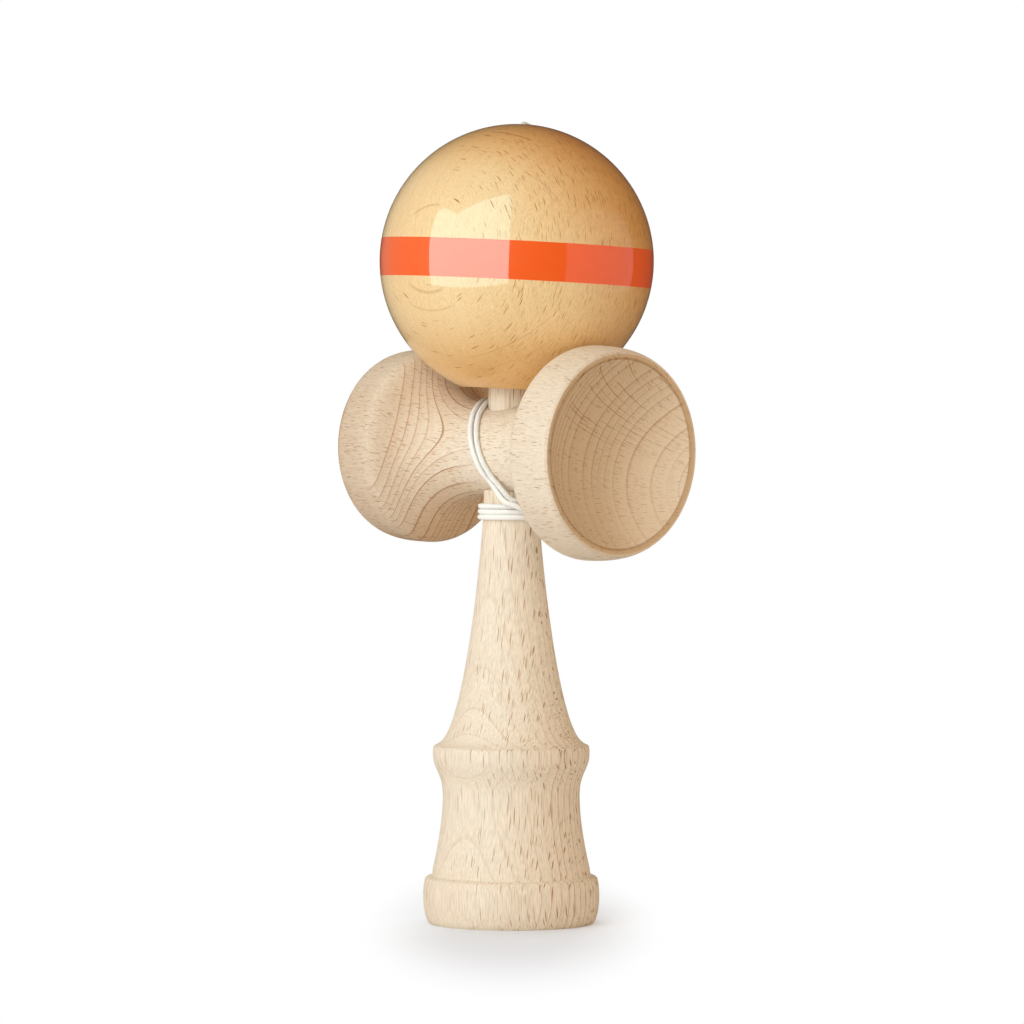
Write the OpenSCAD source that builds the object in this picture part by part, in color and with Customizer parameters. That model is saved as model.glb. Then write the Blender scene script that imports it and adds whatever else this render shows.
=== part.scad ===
// Kendama: a turned ken, a crosspiece with two cups, and a bored ball tied on by a string.
// The ken stands on its foot at the origin, +Z up, with the big cup towards +X.

/* [Ken] */
// Widest diameter of the foot ring
foot_d = 38.6; // [37.6:0.2:42]
// Height of the foot ring
foot_h = 11; // [9:0.5:13]
// Outer diameter of the flat ring that stands on the table
stand_d = 36; // [34:0.2:37]
// Mouth diameter of the cup under the foot
base_cup_d = 31.6; // [26:0.2:33]
// Depth of the cup under the foot
base_cup_depth = 7.5; // [6:0.5:10]
// Diameter of the body just above the foot ring
body_d = 34.4; // [33:0.2:36]
// Diameter of the waist
waist_d = 30; // [27:0.5:32]
// Height of the waist
waist_z = 28; // [25:0.5:30]
// Widest diameter of the collar
collar_d = 34.3; // [33:0.1:37]
// Height of the collar's widest line
collar_z = 37; // [35:0.5:40]
// Diameter of the handle just above the collar
handle_d = 30.4; // [28:0.2:32]
// Diameter of the handle at the shoulder that carries the crosspiece
shoulder_d = 12; // [11.8:0.1:12.8]
// Height of the shoulder
shoulder_z = 95; // [90:0.5:96]
// Diameter of the neck in the crosspiece
neck_d = 10; // [9.4:0.1:10.2]
// Diameter of the spike's round tip
tip_d = 6.6; // [5:0.1:7.4]

/* [Crosspiece] */
// Diameter of the hub between the cups
hub_d = 19.6; // [19:0.2:22]
// How deep the flat seat for the shoulder is cut into the hub
seat_depth = 1; // [0.8:0.1:2]
// Widest diameter of the big cup
big_cup_d = 46.4; // [44:0.2:48]
// Rim diameter of the big cup
big_rim_d = 43.7; // [41:0.1:44]
// Distance of the big cup's rim from the ken's axis
big_reach = 35.5; // [34.5:0.5:40]
// Depth of the big cup's dish
big_dish_depth = 10; // [7:0.5:13]
// Widest diameter of the small cup
small_cup_d = 42.8; // [40:0.2:46]
// Rim diameter of the small cup
small_rim_d = 41; // [38:0.2:42]
// Distance of the small cup's rim from the ken's axis
small_reach = 34.5; // [32:0.5:40]
// Depth of the small cup's dish
small_dish_depth = 9; // [6:0.5:12]
// Width of the ring around each dish
rim_w = 1.5; // [1:0.1:3]
// How far the ring slopes in towards the dish
rim_bevel = 0.25; // [0:0.05:1]
// How far the cups hang out of square with the neck's bore, in degrees
crosspiece_lean = 1.3; // [0:0.1:2]

/* [Ball] */
// Diameter of the ball
ball_d = 60; // [54:0.5:70]
// Width of the painted band
band_w = 8.6; // [5:0.2:14]
// Thickness of the paint
paint = 0.3; // [0.2:0.05:0.6]
// Diameter of the spike's bore
bore_d = 15; // [14:0.2:17]
// Outer diameter of the bevel round the bore's mouth
mouth_d = 22; // [20:0.2:26]
// Top of the bore, above the ball's middle
bore_top = 15.3; // [14:0.1:17]
// How far the ball stands off the ken's axis
ball_shift = 1.2; // [0:0.1:1.6]
// How far the ball leans on the spike, in degrees
ball_lean = 2.8; // [0:0.1:4]
// Direction of the lean and the shift, in degrees from the big cup
lean_way = 48; // [0:5:360]

/* [String and bead] */
// Diameter of the string
string_d = 1.1; // [0.9:0.05:1.1]
// Diameter of the holes that the string runs through
string_hole_d = 2.4; // [2:0.1:3]
// Depth of the flare at the mouth of a string hole
flare = 1.5; // [1:0.1:2]
// Diameter of the bead
bead_d = 5.2; // [4.6:0.1:6]
// Height of the bead
bead_h = 4; // [3:0.2:4.4]
// Diameter of the knots
knot_d = 3; // [2.6:0.1:3.2]
// How far the winding's middle turn lies below the shoulder
winding_drop = 4.8; // [4.5:0.1:5.3]
// Rise from turn to turn of the winding
turn_step = 1.6; // [1.55:0.05:1.7]

/* [Fits] */
// Clearance of the neck in the crosspiece, all round
neck_gap = 0.1; // [0.05:0.05:0.2]
// Clearance between the ball and the widest part of a cup, which sets how far the spike stands up
cup_gap = 2; // [1:0.1:4]
// Clearance between the tip and the top of the bore
tip_gap = 0.3; // [0.2:0.05:0.5]
// Clearance round the bead and under the knots
bead_gap = 0.3; // [0.2:0.05:0.5]
// Clearance between the string and the wood
string_gap = 0.12; // [0.1:0.01:0.2]

/* [Hidden] */
$fn = 96;
beech = "#ecd3ae";
varnished = "#e5b970";
band_paint = "#ff5a28";
cord_white = "#f2f0ea";
bead_wood = "#d9b98c";
// Long enough to cut right through any piece
far = 200;
curve_steps = 14;

// Points on the curve from a to d that leaves towards b and arrives from c, without d
function curve(a, b, c, d) = [for (i = [0 : curve_steps - 1]) let (t = i / curve_steps, u = 1 - t)
  u * u * u * a + 3 * u * u * t * b + 3 * u * t * t * c + t * t * t * d];
// Radius of the sphere whose cap has this mouth radius and depth
function cap_radius(mouth_r, depth) = (mouth_r * mouth_r + depth * depth) / (2 * depth);

// Ken
stand_r = stand_d / 2;
foot_r = foot_d / 2;
body_r = body_d / 2;
waist_r = waist_d / 2;
collar_r = collar_d / 2;
handle_r = handle_d / 2;
shoulder_r = shoulder_d / 2;
neck_r = neck_d / 2;
tip_r = tip_d / 2;
// Rounding of the foot's upper edge and of the shoulder
foot_edge = 1.6;
shoulder_edge = 0.5;
// Height of the handle's lower end above the collar's widest line
collar_top = 3;
handle_z = collar_z + collar_top;
ken_side = concat(
  curve([stand_r, 0], [foot_r - 0.2, 1], [foot_r + 0.4, foot_h / 2], [foot_r - 0.3, foot_h - foot_edge]),
  curve([foot_r - 0.3, foot_h - foot_edge], [foot_r - 0.7, foot_h - 0.4], [body_r + 0.2, foot_h],
    [body_r, foot_h + 1]),
  curve([body_r, foot_h + 1], [body_r - 0.7, foot_h + 4], [waist_r, waist_z - 6], [waist_r, waist_z]),
  curve([waist_r, waist_z], [waist_r, waist_z + 5], [collar_r - 0.1, collar_z - 3], [collar_r, collar_z]),
  curve([collar_r, collar_z], [collar_r, collar_z + 2.1], [collar_r - 1, collar_z + 2], [handle_r, handle_z]),
  curve([handle_r, handle_z], [handle_r - 5.5, handle_z + 5.7], [shoulder_r - 0.2, shoulder_z - 8],
    [shoulder_r, shoulder_z - shoulder_edge]),
  curve([shoulder_r, shoulder_z - shoulder_edge], [shoulder_r, shoulder_z - shoulder_edge / 2],
    [shoulder_r - shoulder_edge / 2, shoulder_z], [shoulder_r - shoulder_edge, shoulder_z]),
  [[shoulder_r - shoulder_edge, shoulder_z]]);

// Crosspiece: its own frame has the cups' axis on X, with the middle of the hub at its origin
hub_r = hub_d / 2;
hub_z = shoulder_z + hub_r - seat_depth;
// Half length of the straight hub, and how far its line and the cup's line run on into the flank between them
hub_flat = 4;
hub_ratio = 0.95;
flank_ratio = 0.77;
// Places of the cups' widest lines
big_belly = big_reach - 9;
small_belly = small_reach - 9;
// Where the slope of the ring round a dish would meet the axis
function rim_apex(reach, rim_r) = reach - rim_bevel * rim_r / rim_w;
// Outline of one cup from the hub outwards: distance along the axis, radius
function cup_side(belly, cup_r, reach, rim_r) = concat(
  curve([hub_flat, hub_r], [belly * hub_ratio, hub_r], [belly * flank_ratio, cup_r], [belly, cup_r]),
  curve([belly, cup_r], [belly + 4, cup_r], [reach - 1.5, rim_r + 0.9], [reach, rim_r]),
  [[reach, rim_r]]);
big_side = cup_side(big_belly, big_cup_d / 2, big_reach, big_rim_d / 2);
small_side = cup_side(small_belly, small_cup_d / 2, small_reach, small_rim_d / 2);

// Ball: its own frame has the bore's axis on Z, with the middle of the ball at its origin
ball_r = ball_d / 2;
bore_r = bore_d / 2;
mouth_r = mouth_d / 2;
mouth_z = -sqrt(ball_r * ball_r - mouth_r * mouth_r);
// Height of the ball over the hub at which it clears a cup
function clear_of(cup_r, belly) = cup_r + sqrt(max(0, pow(ball_r + cup_gap, 2) - belly * belly));
ball_z = hub_z + max(hub_r + ball_r, clear_of(big_cup_d / 2, big_belly),
  clear_of(small_cup_d / 2, small_belly));
tip_mid_z = ball_z + (bore_top - tip_gap - tip_r + ball_shift * sin(ball_lean)) / cos(ball_lean);
ball_at = [ball_shift * cos(lean_way), ball_shift * sin(lean_way), ball_z];
lean_axis = [-sin(lean_way), cos(lean_way), 0];
string_hole_r = string_hole_d / 2;
bead_r = bead_d / 2;
knot_r = knot_d / 2;
// The knot, the bead and their room, up from the top of the bore
bead_knot_z = bore_top + bead_gap + knot_r;
bead_z = bead_knot_z + knot_r;
room_top = bead_z + bead_h + bead_gap;
room_r = bead_r + bead_gap;
// Bores of the bead, and the bevel at its ends
bead_hole_r = string_d / 2 + string_gap;
bead_edge = 0.9;
// How far the bore's upper corner is sloped
bore_corner = 1.5;

// String: places along it are given on the wood that it lies on
string_r = string_d / 2;
lie = string_r + string_gap;
winding_z = shoulder_z - winding_drop;
ken_table = [for (p = ken_side) [p[1], p[0]]];
hub_table = concat([for (i = [len(small_side) - 1 : -1 : 0]) [-small_side[i][0], small_side[i][1]]],
  big_side);
function lean_piece(p) = [p[0] * cos(crosspiece_lean) + p[2] * sin(crosspiece_lean), p[1],
  p[2] * cos(crosspiece_lean) - p[0] * sin(crosspiece_lean) + hub_z];
// A place on the hub: along its axis, and round it from the front over the top
function on_hub(x, way, off = lie) = let (r = lookup(x, hub_table) + off)
  lean_piece([x, -r * cos(way), r * sin(way)]);
// A place on the handle: round it from the big cup, and its height from the winding's middle turn
function on_ken(way, rise, off = lie) = let (z = winding_z + rise, r = lookup(z, ken_table) + off)
  [r * cos(way), r * sin(way), z];
// A place in the ball's frame, turned and moved with the ball
function in_ball(p) = let (k = lean_axis, c = cos(ball_lean), s = sin(ball_lean))
  ball_at + p * c + cross(k, p) * s + k * (k * p) * (1 - c);
// A place on the back of the ball, down from its top
function on_ball(way, off) = in_ball([0, (ball_r + off) * sin(way), (ball_r + off) * cos(way)]);

// The string's first bend lies in the flare of the hub's hole
anchor_y = hub_r - flare - string_d;
function turn(level) = [for (way = [120 : 15 : 315]) on_ken(way, level)];
winding_route = concat(
  [lean_piece([0, anchor_y, 0]), lean_piece([0, anchor_y + string_d, 0]),
    lean_piece([-0.2, hub_r + 0.1, 0.6]), lean_piece([-0.6, hub_r + 0.9, 2.2])],
  [on_hub(-1.9, 153), on_hub(-3.1, 138), on_hub(-4.3, 122), on_hub(-5.4, 106), on_hub(-6.3, 90)],
  [on_hub(-5.1, 75), on_hub(-3.8, 60), on_hub(-2.6, 45), on_hub(-1.4, 30), on_hub(-0.2, 15),
    on_hub(0.9, 0), on_hub(2, -15), on_hub(3.1, -30), on_hub(4.2, -43, 0.85)],
  [on_ken(-38, 3.9, 2), on_ken(-18, 3.1, 1.1), on_ken(0, 2.9, 0.75), on_ken(16, 2.8),
    on_ken(33, 2.6), on_ken(50, 2.4), on_ken(67, 2.2), on_ken(85, 2), on_ken(103, 1.8)],
  turn(turn_step),
  [on_ken(330, turn_step), on_ken(345, 1.5), on_ken(360, 1.3), on_ken(376, 1.1, 0.8),
    on_ken(392, 1, 1.2), on_ken(412, 1.7, 2.3), on_ken(430, 3.3, 2.6)],
  [on_hub(-1, 216), on_hub(-2.6, 200), on_hub(-3.9, 184), on_hub(-4.9, 168), on_hub(-5.8, 152),
    on_hub(-6.6, 136), on_hub(-7.3, 120), on_hub(-7.8, 105), on_hub(-8.2, 90)],
  [on_hub(-7, 75), on_hub(-5.7, 60), on_hub(-4.5, 45), on_hub(-3.3, 30), on_hub(-2.1, 15),
    on_hub(-1, 0), on_hub(0.1, -15), on_hub(1.1, -30), on_hub(2, -43)],
  [on_ken(-61, 3.4, 2.3), on_ken(-43, 2.2, 2.5), on_ken(-26, 0.9, 2.4), on_ken(-8, -0.2, 1.6),
    on_ken(10, -0.8, 0.75), on_ken(26, -0.75), on_ken(42, -0.6), on_ken(58, -0.4), on_ken(74, -0.25),
    on_ken(90, -0.15), on_ken(105, -0.05)],
  turn(0),
  [on_ken(330, -0.2), on_ken(346, -1.35), on_ken(362, -2.35), on_ken(378, -2.6), on_ken(394, -2.45),
    on_ken(410, -2.25), on_ken(426, -2.05), on_ken(442, -1.85), on_ken(458, -turn_step - 0.1),
    on_ken(470, -turn_step)],
  turn(-turn_step),
  [on_ken(330, -turn_step - 0.4), on_ken(346, -3.25), on_ken(362, -4.2), on_ken(378, -4.55),
    on_ken(395, -4.7), on_ken(410, -4.8), on_ken(419, -4.85)]);

// The slack end hangs in a bow behind the crosspiece and goes up over the back of the ball
ball_lie = 0.75;
tail_top = ball_r - 1.8 - string_d;
bow = [[0.6, 8.6, -9.6], [-1.4, 11.4, -11], [-2.8, 15, -12.4], [-3.4, 19, -12.6], [-3.2, 22.6, -11],
  [-2.7, 25.6, -7], [-2.1, 27.8, -1]];
rise = [[-1.5, -0.6, -43], [-0.9, 0.6, -34], [-0.3, 1.4, -24], [0.2, 1.9, -14], [0.6, 2.1, -6]];
tail_places = concat(
  [on_ken(419, -4.85), on_ken(428, -4.9)],
  [for (p = bow) [p[0], p[1], shoulder_z + p[2]]],
  [for (p = rise) [p[0], ball_r + p[1], ball_z + p[2]]],
  [for (way = [88, 76, 64, 52, 40, 29, 19, 11]) on_ball(way, ball_lie)],
  [in_ball([0, 2.4, ball_r + 0.6]), in_ball([0, 0.7, ball_r - 0.1]), in_ball([0, 0, tail_top + string_d]),
    in_ball([0, 0, tail_top])]);

// Smooth route through the given places, with more places put in between each pair
function between(p, i, t) = let (a = p[max(i - 1, 0)], b = p[i], c = p[i + 1], d = p[min(i + 2, len(p) - 1)])
  0.5 * (2 * b + (c - a) * t + (2 * a - 5 * b + 4 * c - d) * t * t + (3 * b - a - 3 * c + d) * t * t * t);
function smooth_route(p, cuts) = concat(
  [for (i = [0 : len(p) - 2], k = [0 : cuts - 1]) between(p, i, k / cuts)], [p[len(p) - 1]]);
tail_route = smooth_route(tail_places, 2);

function unit(v) = v / norm(v);
function heading(p, i) = unit(p[min(i + 1, len(p) - 1)] - p[max(i - 1, 0)]);
function across(v, way) = unit(v - way * (v * way));
// One sideways direction for each ring, carried along so that the tube doesn't twist
function carried(p) = [for (i = 0, n = across([0.3, 0.2, 1], heading(p, 0)); i < len(p);
  i = i + 1, n = i < len(p) ? across(n, heading(p, i)) : n) n];
function length_of(p, i = 0) = i + 1 < len(p) ? norm(p[i + 1] - p[i]) + length_of(p, i + 1) : 0;
// Least distance between parts of a route that are at least this many places apart
self_skip = 12;
function least_gap(p) = min([for (i = [0 : len(p) - 2], j = [i + self_skip : len(p) - 1]) norm(p[i] - p[j])]);
echo(str("least gap of the winding to itself: ", least_gap(smooth_route(winding_route, 4)) - string_d));
echo(str("string length: ", length_of(winding_route) + length_of(tail_route)
  + anchor_y + tail_top - bead_z));

// Turned outline about Z
module turned(side) {
  rotate_extrude()
    polygon(side);
}

// Moves a piece from the crosspiece's frame to the ken
module at_crosspiece() {
  translate([0, 0, hub_z])
    rotate([0, crosspiece_lean, 0])
      children();
}

// Moves a piece from the ball's frame to the spike
module at_ball() {
  translate(ball_at)
    rotate(ball_lean, lean_axis)
      children();
}

// Round tube along a route
module tube(route, sides) {
  n = len(route);
  side = carried(route);
  rings = [for (i = [0 : n - 1], k = [0 : sides - 1]) let (way = heading(route, i), a = 360 * k / sides)
    route[i] + string_r * (side[i] * cos(a) + cross(way, side[i]) * sin(a))];
  walls = [for (i = [0 : n - 2], k = [0 : sides - 1], half = [0, 1]) let (m = (k + 1) % sides, b = i * sides)
    half == 0 ? [b + k, b + sides + k, b + sides + m] : [b + k, b + sides + m, b + m]];
  ends = [[for (k = [0 : sides - 1]) k], [for (k = [sides - 1 : -1 : 0]) (n - 1) * sides + k]];
  polyhedron(rings, concat(ends, walls));
}

// The ken: foot with its cup, waist, collar, handle, shoulder, neck and spike in one piece
module ken() {
  cap = cap_radius(base_cup_d / 2, base_cup_depth);
  spike = concat([[neck_r, shoulder_z]], curve([neck_r, hub_z + hub_r], [neck_r - 0.2, hub_z + hub_r + 18],
    [tip_r + 0.4, tip_mid_z - 12], [tip_r, tip_mid_z]));
  color(beech)
    difference() {
      union() {
        turned(concat([[0, 0]], ken_side, spike, [[tip_r, tip_mid_z], [0, tip_mid_z]]));
        translate([0, 0, tip_mid_z])
          sphere(tip_r);
      }
      translate([0, 0, base_cup_depth - cap])
        sphere(cap);
      translate([0, 0, hub_z])
        rotate([90, 0, 0]) {
          cylinder(h = neck_d * 2, r = string_hole_r, center = true);
          translate([0, 0, neck_r - string_gap - 2 * knot_r])
            cylinder(h = neck_d, r = knot_r + bead_gap);
        }
    }
}

// The crosspiece: a hub with the neck's bore, and a cup turned in each end
module crosspiece() {
  big_cap = cap_radius(big_rim_d / 2 - rim_w, big_dish_depth);
  small_cap = cap_radius(small_rim_d / 2 - rim_w, small_dish_depth);
  small_half = [for (i = [len(small_side) - 1 : -1 : 0]) [small_side[i][1], -small_side[i][0]]];
  big_half = [for (p = big_side) [p[1], p[0]]];
  color(beech)
    difference() {
      at_crosspiece()
        rotate([0, 90, 0])
          turned(concat([[0, -rim_apex(small_reach, small_rim_d / 2)]], small_half, big_half,
            [[0, rim_apex(big_reach, big_rim_d / 2)]]));
      cylinder(h = far, r = neck_r + neck_gap);
      cylinder(h = shoulder_z, r = shoulder_r + neck_gap);
      at_crosspiece() {
        rotate([-90, 0, 0])
          cylinder(h = far, r = string_hole_r);
        translate([0, hub_r - flare, 0])
          rotate([-90, 0, 0])
            cylinder(h = 2 * flare, r1 = string_hole_r, r2 = string_hole_r + 2 * flare);
        rotate([0, 90, 0]) {
          translate([0, 0, big_reach - rim_bevel - big_dish_depth + big_cap])
            sphere(big_cap);
          translate([0, 0, -small_reach + rim_bevel + small_dish_depth - small_cap])
            sphere(small_cap);
        }
      }
    }
}

// What is cut out of the ball, from the bore's mouth up to the string's hole
module ball_hollow() {
  mouth_cut = ball_r + mouth_z;
  turned([[0, -ball_r], [mouth_r + mouth_cut, -ball_r], [bore_r, mouth_z + mouth_r - bore_r],
    [bore_r, bore_top - bore_corner], [bore_r - bore_corner, bore_top], [room_r, bore_top],
    [room_r, room_top], [string_hole_r, room_top], [string_hole_r, ball_r - flare],
    [string_hole_r + 2 * flare, ball_r + flare], [0, ball_r + flare]]);
}

// Slice of the ball that the paint covers
module band_slice() {
  cube([far, far, band_w], center = true);
}

// The ball, with the paint's recess round its middle
module ball() {
  color(varnished)
    at_ball()
      difference() {
        sphere(ball_r);
        ball_hollow();
        difference() {
          band_slice();
          sphere(ball_r - paint);
        }
      }
}

// The painted band
module paint_band() {
  color(band_paint)
    at_ball()
      difference() {
        intersection() {
          sphere(ball_r);
          band_slice();
        }
        sphere(ball_r - paint);
      }
}

// The bead that keeps the string in the ball
module bead() {
  flat_r = bead_r - bead_edge;
  color(bead_wood)
    at_ball()
      translate([0, 0, bead_z])
        turned([[bead_hole_r, 0], [flat_r, 0], [bead_r, bead_edge], [bead_r, bead_h - bead_edge],
          [flat_r, bead_h], [bead_hole_r, bead_h]]);
}

// The knot in the neck of the ken
module anchor_knot() {
  color(cord_white)
    at_crosspiece()
      translate([0, knot_r - neck_r, 0])
        rotate([90, 0, 0])
          knot();
}

// The knot under the bead
module bead_knot() {
  color(cord_white)
    at_ball()
      translate([0, 0, bead_knot_z])
        knot();
}

// A drawn-up knot, flat where it bears on its seat
module knot() {
  waist = knot_r * 0.62;
  turned([[0, -knot_r], [waist, -knot_r], [knot_r, -waist], [knot_r, waist], [waist, knot_r], [0, knot_r]]);
}

// The string from its knot through the neck and the hub
module string_anchor() {
  knot_end = 2 * knot_r - neck_r;
  color(cord_white)
    at_crosspiece()
      translate([0, knot_end, 0])
        rotate([-90, 0, 0])
          cylinder(h = anchor_y - knot_end, r = string_r);
}

// The string over the hub and round the handle
module string_winding() {
  color(cord_white)
    tube(winding_route, 6);
}

// The slack end of the string, up to the ball
module string_tail() {
  color(cord_white)
    tube(tail_route, 8);
}

// The string from the top of the ball through the bead
module string_in_ball() {
  color(cord_white)
    at_ball()
      translate([0, 0, bead_z])
        cylinder(h = tail_top - bead_z, r = string_r);
}

ken();
crosspiece();
ball();
paint_band();
bead();
anchor_knot();
bead_knot();
string_anchor();
string_winding();
string_tail();
string_in_ball();
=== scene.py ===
import bpy
import bmesh
import math
from mathutils import Matrix, Vector


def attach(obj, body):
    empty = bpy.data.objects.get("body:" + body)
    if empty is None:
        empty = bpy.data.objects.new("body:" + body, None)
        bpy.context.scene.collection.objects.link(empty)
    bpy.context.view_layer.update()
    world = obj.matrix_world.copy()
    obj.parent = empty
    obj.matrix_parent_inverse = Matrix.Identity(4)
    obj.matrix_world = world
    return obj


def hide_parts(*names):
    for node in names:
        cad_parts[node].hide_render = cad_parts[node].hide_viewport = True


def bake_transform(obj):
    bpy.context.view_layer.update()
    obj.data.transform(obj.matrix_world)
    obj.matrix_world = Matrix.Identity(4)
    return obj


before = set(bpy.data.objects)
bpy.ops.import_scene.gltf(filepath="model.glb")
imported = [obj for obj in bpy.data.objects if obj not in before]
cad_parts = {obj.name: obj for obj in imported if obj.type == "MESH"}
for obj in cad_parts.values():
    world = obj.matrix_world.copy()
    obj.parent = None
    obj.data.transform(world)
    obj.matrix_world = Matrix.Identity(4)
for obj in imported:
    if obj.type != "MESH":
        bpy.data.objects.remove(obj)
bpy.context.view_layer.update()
mm = 0.001
scene = bpy.context.scene

# level directions fixed on the toy, the right and the front of its photographed side: the figure and the
# tints of the wood, the lamps and the camera are placed by them
faceTurn = 48.0
rightSide = Vector((math.cos(math.radians(faceTurn)), math.sin(math.radians(faceTurn)), 0.0))
frontSide = Vector((math.sin(math.radians(faceTurn)), -math.cos(math.radians(faceTurn)), 0.0))
up = Vector((0.0, 0.0, 1.0))


def placed(name, data):
    made = bpy.data.objects.new(name, data)
    scene.collection.objects.link(made)
    return made


# camera: a long lens a little over a metre away, level with the cups
view = {"lens": 184.6, "sensor": 36.0, "spot": (0.8546, -0.7695, 0.115), "tilt": 1.2415, "shift": 0.0008,
        "far": 50.0}
cameraData = bpy.data.cameras.new("camera")
cameraData.lens = view["lens"]
cameraData.sensor_width = view["sensor"]
cameraData.shift_x = view["shift"]
cameraData.clip_end = view["far"]
camera = placed("camera", cameraData)
camera.location = view["spot"]
camera.rotation_euler = (math.radians(90.0 - view["tilt"]), 0.0, math.radians(faceTurn))
scene.camera = camera
print("camera stands", [round(v, 4) for v in camera.location])


# outlines are rows of (across, along) in millimetres
def bow(a, b, c, d, steps=20):  # points of a cubic curve, without its start
    rows = []
    for i in range(1, steps + 1):
        t = i / steps
        s = 1.0 - t
        shares = (s**3, 3 * s * s * t, 3 * s * t * t, t**3)
        rows.append(tuple(sum(share * p[k] for share, p in zip(shares, (a, b, c, d))) for k in (0, 1)))
    return rows


def arc(radius, fromDeg, toDeg, height=0.0, steps=40):  # 0 degrees points along the axis
    rows = []
    for i in range(steps + 1):
        a = math.radians(fromDeg + (toDeg - fromDeg) * i / steps)
        rows.append((radius * math.sin(a), height + radius * math.cos(a)))
    return rows


def plug(r, low, high):
    return [(0.0, low), (r, low), (r, high), (0.0, high)]


def radiusAt(side, along):
    for (r0, z0), (r1, z1) in zip(side, side[1:]):
        if min(z0, z1) <= along <= max(z0, z1) and z0 != z1:
            return r0 + (r1 - r0) * (along - z0) / (z1 - z0)
    return side[-1][0]


def tipped(angle, axis):
    return Matrix.Rotation(math.radians(angle), 4, axis)


def smoothed(mesh, sharp=32.0):
    for face in mesh.polygons:
        face.use_smooth = True
    mesh.set_sharp_from_angle(angle=math.radians(sharp))


def welded(shape, gap=1e-7):
    bmesh.ops.remove_doubles(shape, verts=shape.verts[:], dist=gap)
    bmesh.ops.recalc_face_normals(shape, faces=shape.faces[:])


def meshFrom(name, shape):
    mesh = bpy.data.meshes.new(name)
    shape.to_mesh(mesh)
    shape.free()
    return mesh


def bakedMesh(piece):
    bpy.context.view_layer.update()
    return bpy.data.meshes.new_from_object(piece.evaluated_get(bpy.context.evaluated_depsgraph_get()))


def turned(name, outline, place=Matrix(), closed=False, steps=192):
    shape = bmesh.new()
    row = [shape.verts.new((r * mm, 0.0, z * mm)) for r, z in outline]
    edges = [shape.edges.new(pair) for pair in zip(row, row[1:])]
    if closed:
        edges.append(shape.edges.new((row[-1], row[0])))
    bmesh.ops.spin(shape, geom=row + edges, cent=(0, 0, 0), axis=(0, 0, 1), dvec=(0, 0, 0),
                   angle=math.tau, steps=steps, use_merge=True)
    welded(shape)
    bmesh.ops.transform(shape, matrix=place, verts=shape.verts[:])
    piece = placed(name, meshFrom(name, shape))
    smoothed(piece.data)
    return piece


def drilled(piece, drills):  # cuts each drill out of the piece and throws the drills away
    for drill in drills:
        cut = piece.modifiers.new("cut", "BOOLEAN")
        cut.operation = "DIFFERENCE"
        cut.solver = "EXACT"
        cut.object = drill
    made = bakedMesh(piece)
    piece.modifiers.clear()
    piece.data = made
    smoothed(made)
    for drill in drills:
        bpy.data.objects.remove(drill)


# the ken, the turned handle with its foot, collar, shoulder and spike
kenSize = {"foot": 18.0, "cup": 15.8, "cupDeep": 7.5, "shoulder": 95.0, "shoulderR": 6.0, "neck": 5.0,
           "neckMid": 104.0, "spike": 113.6, "tip": 3.3, "tipMid": 156.71}
kenSide = [(kenSize["foot"], 0.0)]
kenSide += bow(kenSide[-1], (19.1, 1.0), (19.7, 5.5), (19.05, 9.2))
kenSide += bow(kenSide[-1], (18.97, 9.75), (18.8, 10.05), (18.4, 10.2), 10)
kenSide += [(18.0, 10.32), (17.62, 10.45)]
kenSide += bow(kenSide[-1], (17.3, 10.75), (17.3, 11.3), (17.2, 12.0), 10)
kenSide += bow(kenSide[-1], (16.5, 15.0), (15.0, 22.0), (15.0, 28.0))
kenSide += bow(kenSide[-1], (15.0, 32.6), (16.95, 33.6), (17.15, 36.6))
kenSide += bow(kenSide[-1], (17.2, 37.6), (17.17, 38.3), (17.02, 38.72), 10)
kenSide += [(16.84, 38.95)]
kenSide += bow(kenSide[-1], (16.3, 39.15), (15.85, 39.4), (15.2, 40.0), 10)
kenSide += bow(kenSide[-1], (9.7, 45.7), (5.8, 87.0), (6.0, 94.5), 60)
kenSide += bow(kenSide[-1], (6.0, 94.75), (5.75, 95.0), (5.5, 95.0), 6)
cupBall = (kenSize["cup"] ** 2 + kenSize["cupDeep"] ** 2) / (2 * kenSize["cupDeep"])
cupEdge = math.degrees(math.asin(kenSize["cup"] / cupBall))
kenOutline = arc(cupBall, 0.0, cupEdge, kenSize["cupDeep"] - cupBall) + kenSide
kenOutline += [(kenSize["neck"], kenSize[level]) for level in ("shoulder", "neckMid", "spike")]
kenOutline += bow(kenOutline[-1], (4.8, 131.6), (3.7, 144.71), (kenSize["tip"], kenSize["tipMid"]), 40)
kenOutline += arc(kenSize["tip"], 90.0, 0.0, kenSize["tipMid"], 14)[1:]
kenWood = turned("kenWood", kenOutline)
print("ken turned", len(kenWood.data.polygons), "faces")

# the crosspiece, turned about its own axis with a cup at each end
hub = {"z": 103.8, "r": 9.8, "flat": 4.0, "lean": 1.3, "hubRun": 0.95, "flankRun": 0.77}
bigCup = {"belly": 26.5, "r": 23.2, "rim": 21.85, "reach": 35.5, "deep": 10.0, "lip": 1.5, "fall": 0.25}
smallCup = {"belly": 25.5, "r": 21.4, "rim": 20.5, "reach": 34.5, "deep": 9.0, "lip": 1.5, "fall": 0.25}
rimBend = {"belly": 4.0, "out": 0.9, "back": 1.5}
lipEdge = {"out": 0.12, "fall": 0.95, "turn": 0.992}
leanTurn = tipped(hub["lean"], "Y")
hubMid = Matrix.Translation((0.0, 0.0, hub["z"] * mm))
hubPlace = hubMid @ leanTurn
hubWay = leanTurn @ Vector((1, 0, 0))


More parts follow.
